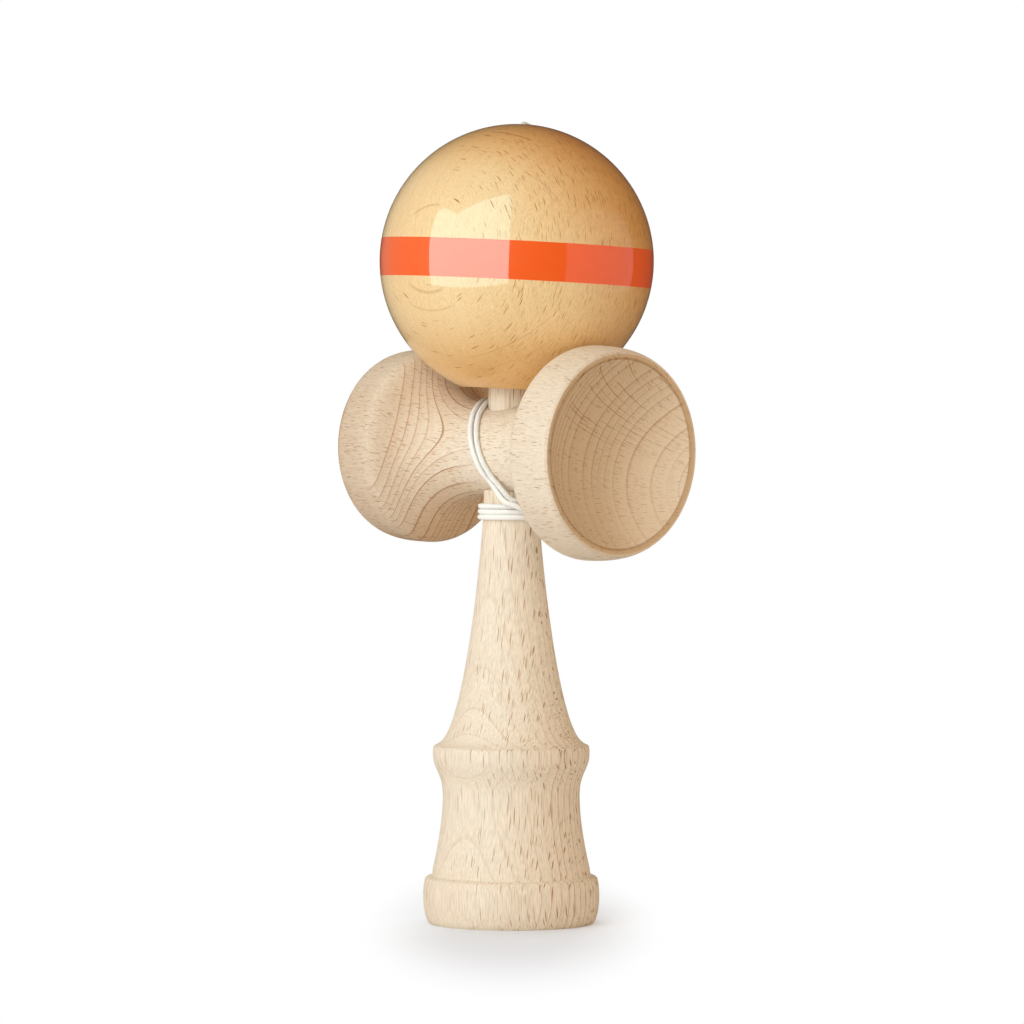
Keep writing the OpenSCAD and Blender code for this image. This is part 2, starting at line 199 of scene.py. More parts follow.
def cupSide(cup):  # from the hub out to the rim
    side = [(hub["r"], hub["flat"])]
    side += bow(side[-1], (hub["r"], cup["belly"] * hub["hubRun"]),
                (cup["r"], cup["belly"] * hub["flankRun"]), (cup["r"], cup["belly"]), 44)
    return side + bow(side[-1], (cup["r"], cup["belly"] + rimBend["belly"]),
                      (cup["rim"] + rimBend["out"], cup["reach"] - rimBend["back"]),
                      (cup["rim"], cup["reach"]), 18)


def cupDish(cup):  # from the rim's top across the lip and down to the middle of the dish
    mouth = cup["rim"] - cup["lip"]
    bowl = (mouth**2 + cup["deep"] ** 2) / (2 * cup["deep"])
    edge = math.degrees(math.asin(mouth / bowl))
    floorAt = cup["reach"] - cup["fall"] - cup["deep"]
    rows = [(mouth + lipEdge["out"], cup["reach"] - cup["fall"] * lipEdge["fall"])]
    return rows + [(r, floorAt + bowl - z) for r, z in arc(bowl, edge * lipEdge["turn"], 0.0)]


bigSide = cupSide(bigCup)
smallSide = cupSide(smallCup)
pieceOutline = [(r, -z) for r, z in reversed(smallSide + cupDish(smallCup))] + bigSide + cupDish(bigCup)
crosspieceWood = turned("crosspieceWood", pieceOutline, hubPlace @ tipped(90.0, "Y"))
drillSize = {"fit": 0.1, "string": 1.2, "knot": 1.8, "low": 80.0, "high": 125.0}
seatR = kenSize["shoulderR"] + drillSize["fit"]
neckR = kenSize["neck"] + drillSize["fit"]
neckOutline = plug(seatR, drillSize["low"], kenSize["shoulder"])[:-1]
neckOutline += plug(neckR, kenSize["shoulder"], drillSize["high"])[1:]
neckDrill = turned("neckDrill", neckOutline, steps=96)
holeOutline = plug(drillSize["string"], 0.0, 8.3)[:-1] + [(2.7, 9.8), (4.2, 11.3), (0.0, 11.3)]
holeDrill = turned("holeDrill", holeOutline, hubPlace @ tipped(-90.0, "X"), steps=48)
drilled(crosspieceWood, [neckDrill, holeDrill])
kenHole = turned("kenHole", plug(drillSize["string"], 0.0, 8.0), hubMid @ tipped(-90.0, "X"), steps=40)
knotHole = turned("knotHole", plug(drillSize["knot"], -0.6, 8.0), hubMid @ tipped(90.0, "X"), steps=40)
drilled(kenWood, [kenHole, knotHole])
print("crosspiece turned", len(crosspieceWood.data.polygons), "faces")

# the ball with its bore, the bead's room and the string hole, and the painted band let in flush
ballMid = (0.802957, 0.891774, 144.937)
ballSize = {"r": 30.0, "bandTop": 3.72, "bandLow": -4.62, "skin": 0.3, "paint": 0.28, "at": Vector(ballMid),
            "lean": 2.8, "way": 48.0, "holeLip": 2.589, "mouthLow": -27.911}
leanWay = math.radians(ballSize["way"])
ballTurn = tipped(ballSize["lean"], Vector((-math.sin(leanWay), math.cos(leanWay), 0.0)))
ballPlace = Matrix.Translation(ballSize["at"] * mm) @ ballTurn
ballAxis = (ballTurn @ up).normalized()


def bandEdges(r):
    return [math.degrees(math.acos(ballSize[edge] / r)) for edge in ("bandTop", "bandLow")]


bandTop, bandLow = bandEdges(ballSize["r"])
inTop, inLow = bandEdges(ballSize["r"] - ballSize["skin"])
holeLip = math.degrees(math.asin(ballSize["holeLip"] / ballSize["r"]))
mouthLip = math.degrees(math.acos(ballSize["mouthLow"] / ballSize["r"]))
ballOutline = [(7.5, -24.4), (7.5, -4.0), (7.5, 13.8), (6.0, 15.3), (2.9, 15.3), (2.9, 22.9), (1.2, 22.9)]
ballOutline += [(1.2, 28.5)] + arc(ballSize["r"], holeLip, bandTop, steps=70)
ballOutline += arc(ballSize["r"] - ballSize["skin"], inTop, inLow, steps=14)
ballOutline += arc(ballSize["r"], bandLow, mouthLip, steps=56)
ballWood = turned("ballWood", ballOutline, ballPlace, closed=True, steps=240)
bandOutline = arc(ballSize["r"], bandTop, bandLow, steps=14)
bandOutline += arc(ballSize["r"] - ballSize["paint"], inLow, inTop, steps=14)
bandPaint = turned("bandPaint", bandOutline, ballPlace, closed=True, steps=240)
print("ball turned", len(ballWood.data.polygons), "faces")

# the bead inside the ball, with rounded ends
beadSize = {"hole": 0.9, "at": 20.6}
beadHalf = [(beadSize["hole"], -1.6)]
beadHalf += bow(beadHalf[-1], (beadSize["hole"], -2.0), (1.4, -2.0), (1.7, -2.0), 5)
beadHalf += bow(beadHalf[-1], (2.3, -2.0), (2.6, -1.5), (2.6, -1.1), 6)
beadOutline = beadHalf + [(r, -z) for r, z in reversed(beadHalf)]
beadPlace = ballPlace @ Matrix.Translation((0, 0, beadSize["at"] * mm))
beadWood = turned("beadWood", beadOutline, beadPlace, closed=True, steps=64)

# the string: places along it in millimetres, drawn on by a smooth line
string = {"d": 1.1, "lie": 0.62, "level": 90.2, "pitch": 1.2, "solidPitch": 1.6, "lay": 2.6, "step": 0.22}
squeeze = string["pitch"] / string["solidPitch"]


def leanPiece(x, y, z):
    a = math.radians(hub["lean"])
    return Vector((x * math.cos(a) + z * math.sin(a), y, z * math.cos(a) - x * math.sin(a) + hub["z"]))


def onHub(x, way, off=string["lie"]):
    side = bigSide if x > 0 else smallSide
    r = (hub["r"] if abs(x) <= hub["flat"] else radiusAt(side, abs(x))) + off
    a = math.radians(way)
    return leanPiece(x, -r * math.cos(a), r * math.sin(a))


def onKen(way, rise, off=string["lie"]):
    z = string["level"] + rise * squeeze
    r = radiusAt(kenSide, z) + off
    a = math.radians(way)
    return Vector((r * math.cos(a), r * math.sin(a), z))


def inBall(x, y, z):
    return ballTurn @ Vector((x, y, z)) + ballSize["at"]


def turn(rise):
    return [onKen(way, rise) for way in range(120, 316, 15)]


def alongHub(*rows):
    return [onHub(*row) for row in rows]


def alongKen(*rows):
    return [onKen(*row) for row in rows]


def smoothLine(places, gap, cuts=16):  # a rounded line through the places, with even steps
    fine = []
    ends = [places[0] * 2 - places[1]] + places + [places[-1] * 2 - places[-2]]
    for a, b, c, d in zip(ends, ends[1:], ends[2:], ends[3:]):
        for i in range(cuts):
            t = i / cuts
            fine.append(0.5 * (2 * b + (c - a) * t + (2 * a - 5 * b + 4 * c - d) * t**2
                               + (3 * b - a - 3 * c + d) * t**3))
    fine.append(places[-1])
    long = sum((b - a).length for a, b in zip(fine, fine[1:]))
    step = long / max(2, round(long / gap))
    line, left = [fine[0]], step
    for a, b in zip(fine, fine[1:]):
        span = (b - a).length
        while span >= left > 0:
            a = a + (b - a) * (left / span)
            line.append(a)
            span = (b - a).length
            left = step
        left -= span
    if (line[-1] - fine[-1]).length > step * 0.3:
        line.append(fine[-1])
    return line


# out of the hub's hole and over the hub, round the handle, over the hub again, and two more turns
windingPlaces = [leanPiece(*place) for place in (
    (0, 7.2, 0), (0, 8.3, 0), (-0.2, 9.9, 0.6), (-0.6, 10.7, 2.2))]
windingPlaces += alongHub(
    (-1.9, 153), (-3.1, 138), (-4.3, 122), (-5.4, 106), (-6.3, 90), (-5.1, 75), (-3.8, 60), (-2.6, 45),
    (-1.4, 30), (-0.2, 15), (0.9, 0), (2, -15), (3.1, -30), (4.2, -43, 0.85))
windingPlaces += alongKen(
    (-43, 3.9, 2.0), (-20, 3.1, 1.1), (0, 2.9, 0.75), (16, 2.8), (33, 2.6), (50, 2.4), (67, 2.2), (85, 2.0),
    (103, 1.8)) + turn(1.6)
windingPlaces += alongKen(
    (330, 1.6), (345, 1.5), (360, 1.3), (376, 1.1, 0.8), (392, 1.0, 1.2), (412, 1.7, 2.3), (430, 3.3, 2.6))
windingPlaces += alongHub(
    (-1, 216), (-2.6, 200), (-3.9, 184), (-4.9, 168), (-5.8, 152), (-6.6, 136), (-7.3, 120), (-7.8, 105),
    (-8.2, 90), (-7, 75), (-5.7, 60), (-4.5, 45), (-3.3, 30), (-2.1, 15), (-1, 0), (0.1, -15), (1.1, -30),
    (2, -43))
windingPlaces += alongKen(
    (-54, 3.4, 2.3), (-40, 2.2, 2.5), (-24, 0.9, 2.4), (-8, -0.2, 1.6), (10, -0.8, 0.75), (26, -0.75),
    (42, -0.6), (58, -0.4), (74, -0.25), (90, -0.15), (105, -0.05)) + turn(0.0)
windingPlaces += alongKen(
    (330, 0.0), (346, -0.2), (360, -1.6), (374, -2.5), (388, -2.6), (399, -2.45), (410, -2.25), (426, -2.05),
    (442, -1.85), (458, -1.7), (470, -1.6)) + turn(-1.6)
windingPlaces += alongKen(
    (330, -1.6), (346, -1.8), (360, -3.1), (374, -4.2), (388, -4.6), (399, -4.72), (410, -4.8), (419, -4.85))

# the slack end bows out behind, goes up the back of the ball and down through its top hole to the bead
ballLie = ballSize["r"] + 0.75
tailPlaces = alongKen((419, -4.85), (428, -4.9))
tailPlaces += [Vector((x, y, z + kenSize["shoulder"])) for x, y, z in (
    (0.6, 8.6, -9.6), (-1.4, 11.4, -11), (-2.8, 15, -12.4), (-3.4, 19, -12.6), (-3.2, 22.6, -11),
    (-2.7, 25.6, -7), (-2.1, 27.8, -1))]
tailPlaces += [Vector((x, ballSize["r"] + y, ballMid[2] + z)) for x, y, z in (
    (-1.5, -0.6, -43), (-0.9, 0.6, -34), (-0.3, 1.4, -24), (0.2, 1.9, -14), (0.6, 2.1, -6))]
tailPlaces += [inBall(0, ballLie * math.sin(math.radians(way)), ballLie * math.cos(math.radians(way)))
               for way in (88, 76, 64, 52)]
tailPlaces += [inBall(-x, math.sqrt(ballSize["r"] ** 2 - z * z - x * x), z + 0.5) for x, z in (
    (2.2, 23.6), (4.2, 26.6), (4.2, 28.6))]
tailPlaces += [inBall(*place) for place in (
    (-2.6, 2.6, 30.2), (-0.8, 0.8, 29.6), (0, 0, 28.2), (0, 0, 27.1), (0, 0, 23.0), (0, 0, 18.6))]


def twine(name, line, thick, sides=15, strands=3, bulge=0.05):  # a cord whose strands wind about the line
    ropeEdge = bpy.data.curves.new("ropeEdge", "CURVE")
    ropeEdge.dimensions = "2D"
    edge = ropeEdge.splines.new("POLY")
    edge.points.add(sides - 1)
    edge.use_cyclic_u = True
    for i, point in enumerate(edge.points):
        a = math.tau * i / sides
        r = string["d"] * 0.5 * mm * thick * (1.0 - bulge + bulge * math.cos(strands * a))
        point.co = (r * math.cos(a), r * math.sin(a), 0.0, 1.0)
    edgePiece = placed("ropeEdge", ropeEdge)
    run = bpy.data.curves.new(name, "CURVE")
    run.dimensions = "3D"
    run.twist_mode = "MINIMUM"
    run.bevel_mode = "OBJECT"
    run.bevel_object = edgePiece
    run.use_fill_caps = True
    spline = run.splines.new("POLY")
    spline.points.add(len(line) - 1)
    gone = 0.0
    for i, point in enumerate(spline.points):
        gone += (line[i] - line[i - 1]).length if i else 0.0
        point.co = (*(line[i] * mm), 1.0)
        point.tilt = math.tau * gone / string["lay"]
    runPiece = placed(name + "Run", run)
    mesh = bakedMesh(runPiece)
    for spare in (runPiece, edgePiece):
        bpy.data.objects.remove(spare)
    for spare in (run, ropeEdge):
        bpy.data.curves.remove(spare)
    mesh.name = name
    shape = bmesh.new()
    shape.from_mesh(mesh)
    welded(shape)
    shape.to_mesh(mesh)
    shape.free()
    mesh.materials.clear()
    smoothed(mesh, 60.0)
    return placed(name, mesh)


def knotLine(middle, axis, r, points=90, share=0.97, deep=0.62):  # a small overhand knot about its cord
    side = axis.orthogonal().normalized()
    other = axis.cross(side)
    rows = []
    for i in range(points):
        a = math.tau * i / points * share
        rows.append(middle + side * r * (math.sin(a) + 2 * math.sin(2 * a)) / 3
                    + other * r * (math.cos(a) - 2 * math.cos(2 * a)) / 3 - axis * r * deep * math.sin(3 * a))
    return rows


def lengthOf(line):
    return sum((b - a).length for a, b in zip(line, line[1:])) * mm


windingLine = smoothLine(windingPlaces, string["step"])
tailLine = smoothLine(tailPlaces, string["step"])
stringWound = twine("stringWound", windingLine, 1.12)
stringTail = twine("stringTail", tailLine, 1.12)
anchorKnot = twine("anchorKnot", knotLine(leanPiece(0, 5.9, 0), Vector((0, 1, 0)), 0.9), 0.8)
beadKnot = twine("beadKnot", knotLine(inBall(0, 0, 17.1), ballAxis, 0.95), 0.85)
print("string wound", round(lengthOf(windingLine), 4), "tail", round(lengthOf(tailLine), 4))


def node(tree, kind, ins=None, **settings):
    made = tree.nodes.new("ShaderNode" + kind)
    for key, value in settings.items():
        setattr(made, key, value)
    for key, value in (ins or {}).items():
        if isinstance(value, bpy.types.NodeSocket):
            tree.links.new(value, made.inputs[key])
        else:
            made.inputs[key].default_value = value
    return made


def sums(tree, kind, a, b=0.0, c=0.0):
    return node(tree, "Math", {0: a, 1: b, 2: c}, operation=kind).outputs[0]


def times(tree, first, *others):
    for other in others:
        first = sums(tree, "MULTIPLY", first, other)
    return first


def vectors(tree, kind, a, b):
    return node(tree, "VectorMath", {0: a, 1: b}, operation=kind).outputs[0]


def dot(tree, a, b):
    return node(tree, "VectorMath", {0: a, 1: b}, operation="DOT_PRODUCT").outputs["Value"]


def lengthNode(tree, vector):
    return node(tree, "VectorMath", {0: vector}, operation="LENGTH").outputs["Value"]


def scaled(tree, vector, factor):
    return node(tree, "VectorMath", {0: vector, "Scale": factor}, operation="SCALE").outputs[0]


def ease(tree, value, low, high, start=0.0, end=1.0):
    ins = {"Value": value, "From Min": low, "From Max": high, "To Min": start, "To Max": end}
    return node(tree, "MapRange", ins, interpolation_type="SMOOTHSTEP").outputs[0]


def noiseAt(tree, vector, stretch, detail=2.0, rough=0.5):
    moved = vectors(tree, "MULTIPLY", vector, stretch)
    ins = {"Vector": moved, "Scale": 1.0, "Detail": detail, "Roughness": rough}
    return node(tree, "TexNoise", ins).outputs[0]


def blendColour(tree, share, a, b, kind="MIX"):
    return node(tree, "Mix", {0: share, 6: a, 7: b}, data_type="RGBA", blend_type=kind).outputs[2]


def tinted(tree, share, tone, tint):
    return blendColour(tree, share, tone, blendColour(tree, 1.0, tone, tint + (1.0,), "MULTIPLY"))


def colour(red, green, blue):  # a colour as seen on screen, given to nodes as light
    light = [((v / 255 + 0.055) / 1.055) ** 2.4 if v > 10 else v / 255 / 12.92 for v in (red, green, blue)]
    return (*light, 1.0)


def figureGroup(name, vectorLabels, valueLabels, results):
    group = bpy.data.node_groups.new(name, "ShaderNodeTree")
    for kind, labels in (("Vector", vectorLabels), ("Float", valueLabels)):
        for label in labels:
            group.interface.new_socket(label, in_out="INPUT", socket_type="NodeSocket" + kind)
    for label in results:
        group.interface.new_socket(label, in_out="OUTPUT", socket_type="NodeSocketFloat")
    return group, group.nodes.new("NodeGroupInput").outputs, group.nodes.new("NodeGroupOutput").inputs


# beech: growth rings round a pith line, ray flecks as thin lenses, long rays, and fine fibre along the grain
grainSize = {"sway": (0.05, 0.05, 0.014), "fibre": (4.5, 4.5, 0.22), "cloud": (0.07, 0.07, 0.022),
             "rayGap": 0.85, "rayBreak": (0.12, 1.0, 0.05), "uneven": 0.37, "unevenBy": 0.35,
             "swellFrom": 10.0, "swellRate": 0.4}
beech, beechIn, beechOut = figureGroup(
    "beechFigure", ("Vector", "Radial", "Tangent", "Axial", "Shift", "Fleck Cell"),
    ("Ring Gap", "Pith Depth", "Ring Start", "Ring Warp", "Ring Swell", "Fleck Share"),
    ("Ring", "Late", "Fleck", "Fine", "Fibre", "Cloud", "Ray"))
beechSpot = scaled(beech, beechIn["Vector"], 1000.0)
grain = node(beech, "CombineXYZ", {i: dot(beech, beechSpot, beechIn[label])
                                   for i, label in enumerate(("Radial", "Tangent", "Axial"))}).outputs[0]
grainParts = node(beech, "SeparateXYZ", {0: vectors(beech, "ADD", grain, beechIn["Shift"])}).outputs
outward = sums(beech, "ADD", grainParts[0], beechIn["Pith Depth"])
fromPith = lengthNode(beech, node(beech, "CombineXYZ", {0: outward, 1: grainParts[1]}).outputs[0])
sheet = sums(beech, "SUBTRACT", fromPith, beechIn["Pith Depth"])
roundPith = times(beech, sums(beech, "ARCTAN2", grainParts[1], outward), beechIn["Pith Depth"])
grain = node(beech, "CombineXYZ", {0: sheet, 1: roundPith, 2: grainParts[2]}).outputs[0]
sway = sums(beech, "SUBTRACT", noiseAt(beech, grain, grainSize["sway"]), 0.5)
sheet = sums(beech, "ADD", sheet, beechIn["Ring Start"])
sheet = sums(beech, "ADD", sheet, times(beech, sway, beechIn["Ring Warp"]))
years = sums(beech, "DIVIDE", sheet, beechIn["Ring Gap"])
uneven = node(beech, "TexNoise", {"W": years, "Scale": grainSize["uneven"], "Detail": 0.0},
              noise_dimensions="1D").outputs[0]
uneven = sums(beech, "SUBTRACT", uneven, 0.5)
years = sums(beech, "ADD", years, times(beech, uneven, grainSize["unevenBy"]))
swell = times(beech, sums(beech, "SUBTRACT", sheet, grainSize["swellFrom"]), grainSize["swellRate"])
years = sums(beech, "ADD", years, times(beech, sums(beech, "SINE", swell), beechIn["Ring Swell"]))
season = sums(beech, "FRACT", years)
strong = node(beech, "TexWhiteNoise", {"W": sums(beech, "FLOOR", years)}, noise_dimensions="1D").outputs[0]
lateLine = times(beech, ease(beech, season, 0.84, 0.96), ease(beech, season, 1.0, 0.97))
flecks = []
for size, near, far in ((1.0, 0.17, 0.36), (0.55, 0.16, 0.38)):
    held = vectors(beech, "DIVIDE", grain, scaled(beech, beechIn["Fleck Cell"], size))
    cells = node(beech, "TexVoronoi", {"Vector": held, "Scale": 1.0, "Randomness": 1.0}, feature="F1").outputs
    pick = node(beech, "SeparateColor", {0: cells["Color"]}).outputs
    kept = sums(beech, "LESS_THAN", pick[0], beechIn["Fleck Share"])
    lens = ease(beech, cells["Distance"], far, near)
    flecks.append(times(beech, lens, kept, ease(beech, pick[1], 0.0, 1.0, 0.35, 1.0)))
rays = node(beech, "TexVoronoi", {"W": sums(beech, "DIVIDE", roundPith, grainSize["rayGap"]), "Scale": 1.0,
                                  "Randomness": 1.0}, voronoi_dimensions="1D", feature="F1").outputs
rayPick = node(beech, "SeparateColor", {0: rays["Color"]}).outputs[0]
rayRun = noiseAt(beech, grain, grainSize["rayBreak"], 1.0)
for label, result in (
        ("Ring", times(beech, lateLine, ease(beech, strong, 0.0, 1.0, 0.4, 1.0))),
        ("Late", ease(beech, season, 0.1, 1.0)), ("Fleck", flecks[0]), ("Fine", flecks[1]),
        ("Fibre", noiseAt(beech, grain, grainSize["fibre"], 4.0, 0.6)),
        ("Cloud", noiseAt(beech, grain, grainSize["cloud"])),
        ("Ray", times(beech, ease(beech, rays["Distance"], 0.14, 0.05), ease(beech, rayPick, 0.1, 0.7),
                      ease(beech, rayRun, 0.36, 0.52)))):
    beech.links.new(result, beechOut[label])

lookSockets = {"Shift": "shift", "Ring Gap": "ringGap", "Pith Depth": "pithDepth", "Ring Start": "ringStart",
               "Ring Warp": "ringWarp", "Ring Swell": "ringSwell", "Fleck Cell": "fleckCell",
               "Fleck Share": "fleckShare"}
woodGrain = {"dent": 0.00006, "fibreDent": 0.5, "fleckDent": -0.5, "roughBy": 0.06}


def beechMaterial(name, look, finish=None):
    made = bpy.data.materials.new(name)
    made.use_nodes = True
    tree = made.node_tree
    tree.nodes.clear()
    wood = node(tree, "BsdfPrincipled")
    tree.links.new(wood.outputs[0], node(tree, "OutputMaterial").inputs[0])
    place = node(tree, "TexCoord").outputs["Object"]
    axial = Vector(look["axial"]).normalized()
    radial = Vector(look["radial"])
    radial = (radial - axial * radial.dot(axial)).normalized()
    ins = {"Vector": place, "Radial": radial, "Tangent": axial.cross(radial), "Axial": axial}
    ins.update((label, look[key]) for label, key in lookSockets.items())
    figure = node(tree, "Group", ins, node_tree=beech)
    if "fleckSide" in look:  # flecks gather towards one side
        way, low, high, few, many = look["fleckSide"]
        side = dot(tree, place, way)
        tree.links.new(ease(tree, side, low * mm, high * mm, few, many), figure.inputs["Fleck Share"])
    for label, (start, end, first, last) in look.get("runs", {}).items():  # what changes along the grain
        run = dot(tree, place, axial)
        tree.links.new(ease(tree, run, start * mm, end * mm, first, last), figure.inputs[label])
    marks = figure.outputs
    tone = blendColour(tree, marks["Cloud"], look["pale"], look["warm"])
    ringShare = look["ringShare"](tree, place) if callable(look["ringShare"]) else look["ringShare"]
    tone = blendColour(tree, times(tree, marks["Late"], ringShare, look["lateShare"]), tone, look["late"])
    tone = blendColour(tree, times(tree, marks["Ring"], ringShare), tone, look["ring"])
    for mark, share in (("Fine", "fineShare"), ("Fleck", "fleckMix")):
        tone = tinted(tree, times(tree, marks[mark], look[share]), tone, look["fleckTint"])
    if "rayShare" in look:
        tone = tinted(tree, times(tree, marks["Ray"], look["rayShare"](tree, place)), tone, look["fleckTint"])
    streak = ease(tree, marks["Fibre"], 0.3, 0.7, 1.0 - look["fibre"], 1.0 + look["fibre"])
    tone = scaled(tree, tone, streak)
    if finish:
        tone = finish(tree, tone, place)
    tree.links.new(tone, wood.inputs["Base Color"])
    dents = sums(tree, "ADD", times(tree, marks["Fibre"], woodGrain["fibreDent"]),
                 times(tree, marks["Fleck"], woodGrain["fleckDent"]))
    relief = node(tree, "Bump", {"Strength": look["relief"], "Distance": woodGrain["dent"], "Height": dents})
    tree.links.new(relief.outputs[0], wood.inputs["Normal"])
    smooth, coarse = look["rough"] - woodGrain["roughBy"], look["rough"] + woodGrain["roughBy"]
    tree.links.new(ease(tree, marks["Fibre"], 0.2, 0.8, smooth, coarse), wood.inputs["Roughness"])
    wood.inputs["Specular IOR Level"].default_value = look["shine"]
    return made, wood


rawBeech = {"pale": colour(243, 232, 213), "warm": colour(237, 219, 194), "late": colour(228, 196, 158),
            "ring": colour(166, 112, 64), "fleckTint": (0.55, 0.36, 0.19), "lateShare": 0.6,
            "ringShare": 0.16, "fineShare": 0.45, "fleckMix": 0.8, "fibre": 0.05, "relief": 0.2, "rough": 0.6,
            "shine": 0.15, "fleckShare": 0.6, "fleckCell": (0.9, 0.34, 5.0), "shift": (0, 0, 0),
            "ringSwell": 0.0, "ringStart": 0.0}


def kenRings(tree, place):  # rings show more towards the right
    return ease(tree, dot(tree, place, rightSide), 0.002, 0.014, 0.14, 0.65)


kenLook = dict(rawBeech, axial=(0.0, 0.0, 1.0), radial=(0.139, -0.990, 0.0), ringGap=1.9, pithDepth=83.0,
               ringWarp=3.0, shift=(1.3, 2.0, 5.0), fleckSide=(rightSide, -14.0, 2.0, 0.15, 0.75),
               ringShare=kenRings, fleckCell=(1.6, 0.28, 8.0), fleckMix=1.0, fineShare=0.38, fibre=0.11,
               fleckTint=(0.5, 0.3, 0.14))
kenWood.data.materials.append(beechMaterial("rawBeechKen", kenLook)[0])

# the crosspiece: its zones are in millimetres from the middle of the hub
crossRadial = (0.0, -0.953, 0.303)
# tints of the crosspiece's zones: smallTopPaintedLight and dishPaintedLight are painted light, ridge,
# smallRimPaintedShade and smallShade are painted shade
crossTintAndPaintedLight = {"small": (0.94, 0.89, 0.85), "ridgePaintedShade": (0.94, 0.93, 0.92), "bigFlank": (0.95, 0.93, 0.91),
             "smallRimPaintedShade": (0.84, 0.79, 0.75), "smallShade": (0.84, 0.72, 0.6), "smallTopPaintedLight": (1.09, 1.16, 1.23),
             "dish": (0.86, 0.77, 0.655), "dishPaintedLight": (1.19, 1.25, 1.35), "lip": (0.78, 0.64, 0.48)}
crossEdge = {"r": 20.37, "share": 0.4, "tone": colour(142, 92, 52)}


def crossSpots(tree, place):
    spot = scaled(tree, vectors(tree, "SUBTRACT", place, (0.0, 0.0, hub["z"] * mm)), 1000.0)
    along = dot(tree, spot, hubWay)
    out = lengthNode(tree, spot)
    away = sums(tree, "SQRT", sums(tree, "SUBTRACT", times(tree, out, out), times(tree, along, along)))
    ends = sums(tree, "ABSOLUTE", along)
    return {"along": along, "away": away, "ends": ends, "inner": dot(tree, spot, crossRadial),
            "high": node(tree, "SeparateXYZ", {0: spot}).outputs[2],
            "inDish": times(tree, ease(tree, ends, 23.5, 24.5), ease(tree, away, 20.9, 20.7))}


def crossRings(tree, place):  # rings show on the small cup and in the dishes, and hardly on the hub
    at = crossSpots(tree, place)
    onSmall = times(tree, ease(tree, at["along"], -2.0, -12.0, 0.1, 0.85),
                    ease(tree, at["inner"], 18.6, 17.2), ease(tree, at["ends"], 22.5, 26.5, 1.0, 0.2))
    dished = times(tree, at["inDish"], ease(tree, at["inner"], -12.0, 6.0, 0.4, 0.75),
                   ease(tree, at["high"], -13.0, 3.0, 0.45, 1.0))
    return sums(tree, "MAXIMUM", onSmall, dished)


def crossRays(tree, place):  # long rays cross the rings in the upper half of the dishes
    at = crossSpots(tree, place)
    return times(tree, at["inDish"], ease(tree, at["inner"], 15.0, 10.0),
                 ease(tree, at["high"], -6.0, 7.0, 0.1, 0.65))


def crossFinishAndPaintedLight(tree, tone, place):  # the small cup is rosier, the dishes and the big cup's lip are darker; painted shade darkens the ridge, the small cup's rim side and its side away from the front and top, and painted light brightens the small cup's top and one side of the dishes
    at = crossSpots(tree, place)
    along, away, ends, inner = at["along"], at["away"], at["ends"], at["inner"]
    small = ease(tree, along, 2.0, -22.0)
    zones = {"small": small,
             # painted shade: the belly ridge of the small cup is darkened where a highlight falls
             "ridgePaintedShade": ease(tree, sums(tree, "ABSOLUTE", sums(tree, "ADD", along, 24.5)), 5.0, 0.0),
             "bigFlank": ease(tree, along, 8.0, 16.0),
             # painted shade: the small cup's rim side is darkened
             "smallRimPaintedShade": ease(tree, along, -22.0, -30.0),
             # painted shade: the small cup's side away from the front and top is darkened
             "smallShade": times(tree, small, ease(tree, inner, 9.0, -3.0)),
             # painted light: the small cup's top is brightened
             "smallTopPaintedLight": times(tree, small, ease(tree, at["high"], 9.0, 20.0)),
             "dish": at["inDish"],
             # painted light: one side of the dishes is brightened
             "dishPaintedLight": times(tree, at["inDish"], ease(tree, inner, -2.0, -17.0)),
             "lip": times(tree, ease(tree, ends, 33.9, 34.15), ease(tree, away, 20.3, 20.5),
                          ease(tree, along, 34.8, 35.1), ease(tree, away, 21.8, 21.3, 0.25, 1.0))}
    for zone, tint in crossTintAndPaintedLight.items():
        tone = tinted(tree, zones[zone], tone, tint)
    nearEdge = sums(tree, "ABSOLUTE", sums(tree, "SUBTRACT", away, crossEdge["r"]))
    edgeLine = times(tree, ease(tree, nearEdge, 0.22, 0.06, 0.0, crossEdge["share"]),
                     ease(tree, ends, 33.5, 34.0))
    return blendColour(tree, edgeLine, tone, crossEdge["tone"])


crossLook = dict(rawBeech, axial=hubWay, radial=crossRadial, ringGap=2.0, pithDepth=50.0, ringWarp=0.8,
                 runs={"Pith Depth": (-8.0, 22.0, 90.0, 50.0), "Ring Gap": (-8.0, 22.0, 2.0, 2.7),
                       "Ring Swell": (-8.0, 22.0, 0.8, 0.5)},
                 shift=(-31.45, 98.9, 2.0), ringStart=29.9, ringSwell=0.8, ringShare=crossRings,
                 rayShare=crossRays, lateShare=0.4, fleckCell=(2.8, 0.28, 3.0), fleckMix=0.75, fineShare=0.6,
                 fibre=0.08, fleckSide=(hubWay, -6.0, 12.0, 0.8, 0.4))
crosspieceWood.data.materials.append(beechMaterial("rawBeechCross", crossLook, crossFinishAndPaintedLight)[0])
beadLook = dict(rawBeech, axial=ballAxis, radial=(1.0, 0.0, 0.0), ringGap=1.6, pithDepth=20.0, ringWarp=1.0,
                fleckCell=(2.0, 0.3, 1.5))
beadWood.data.materials.append(beechMaterial("rawBeechBead", beadLook)[0])

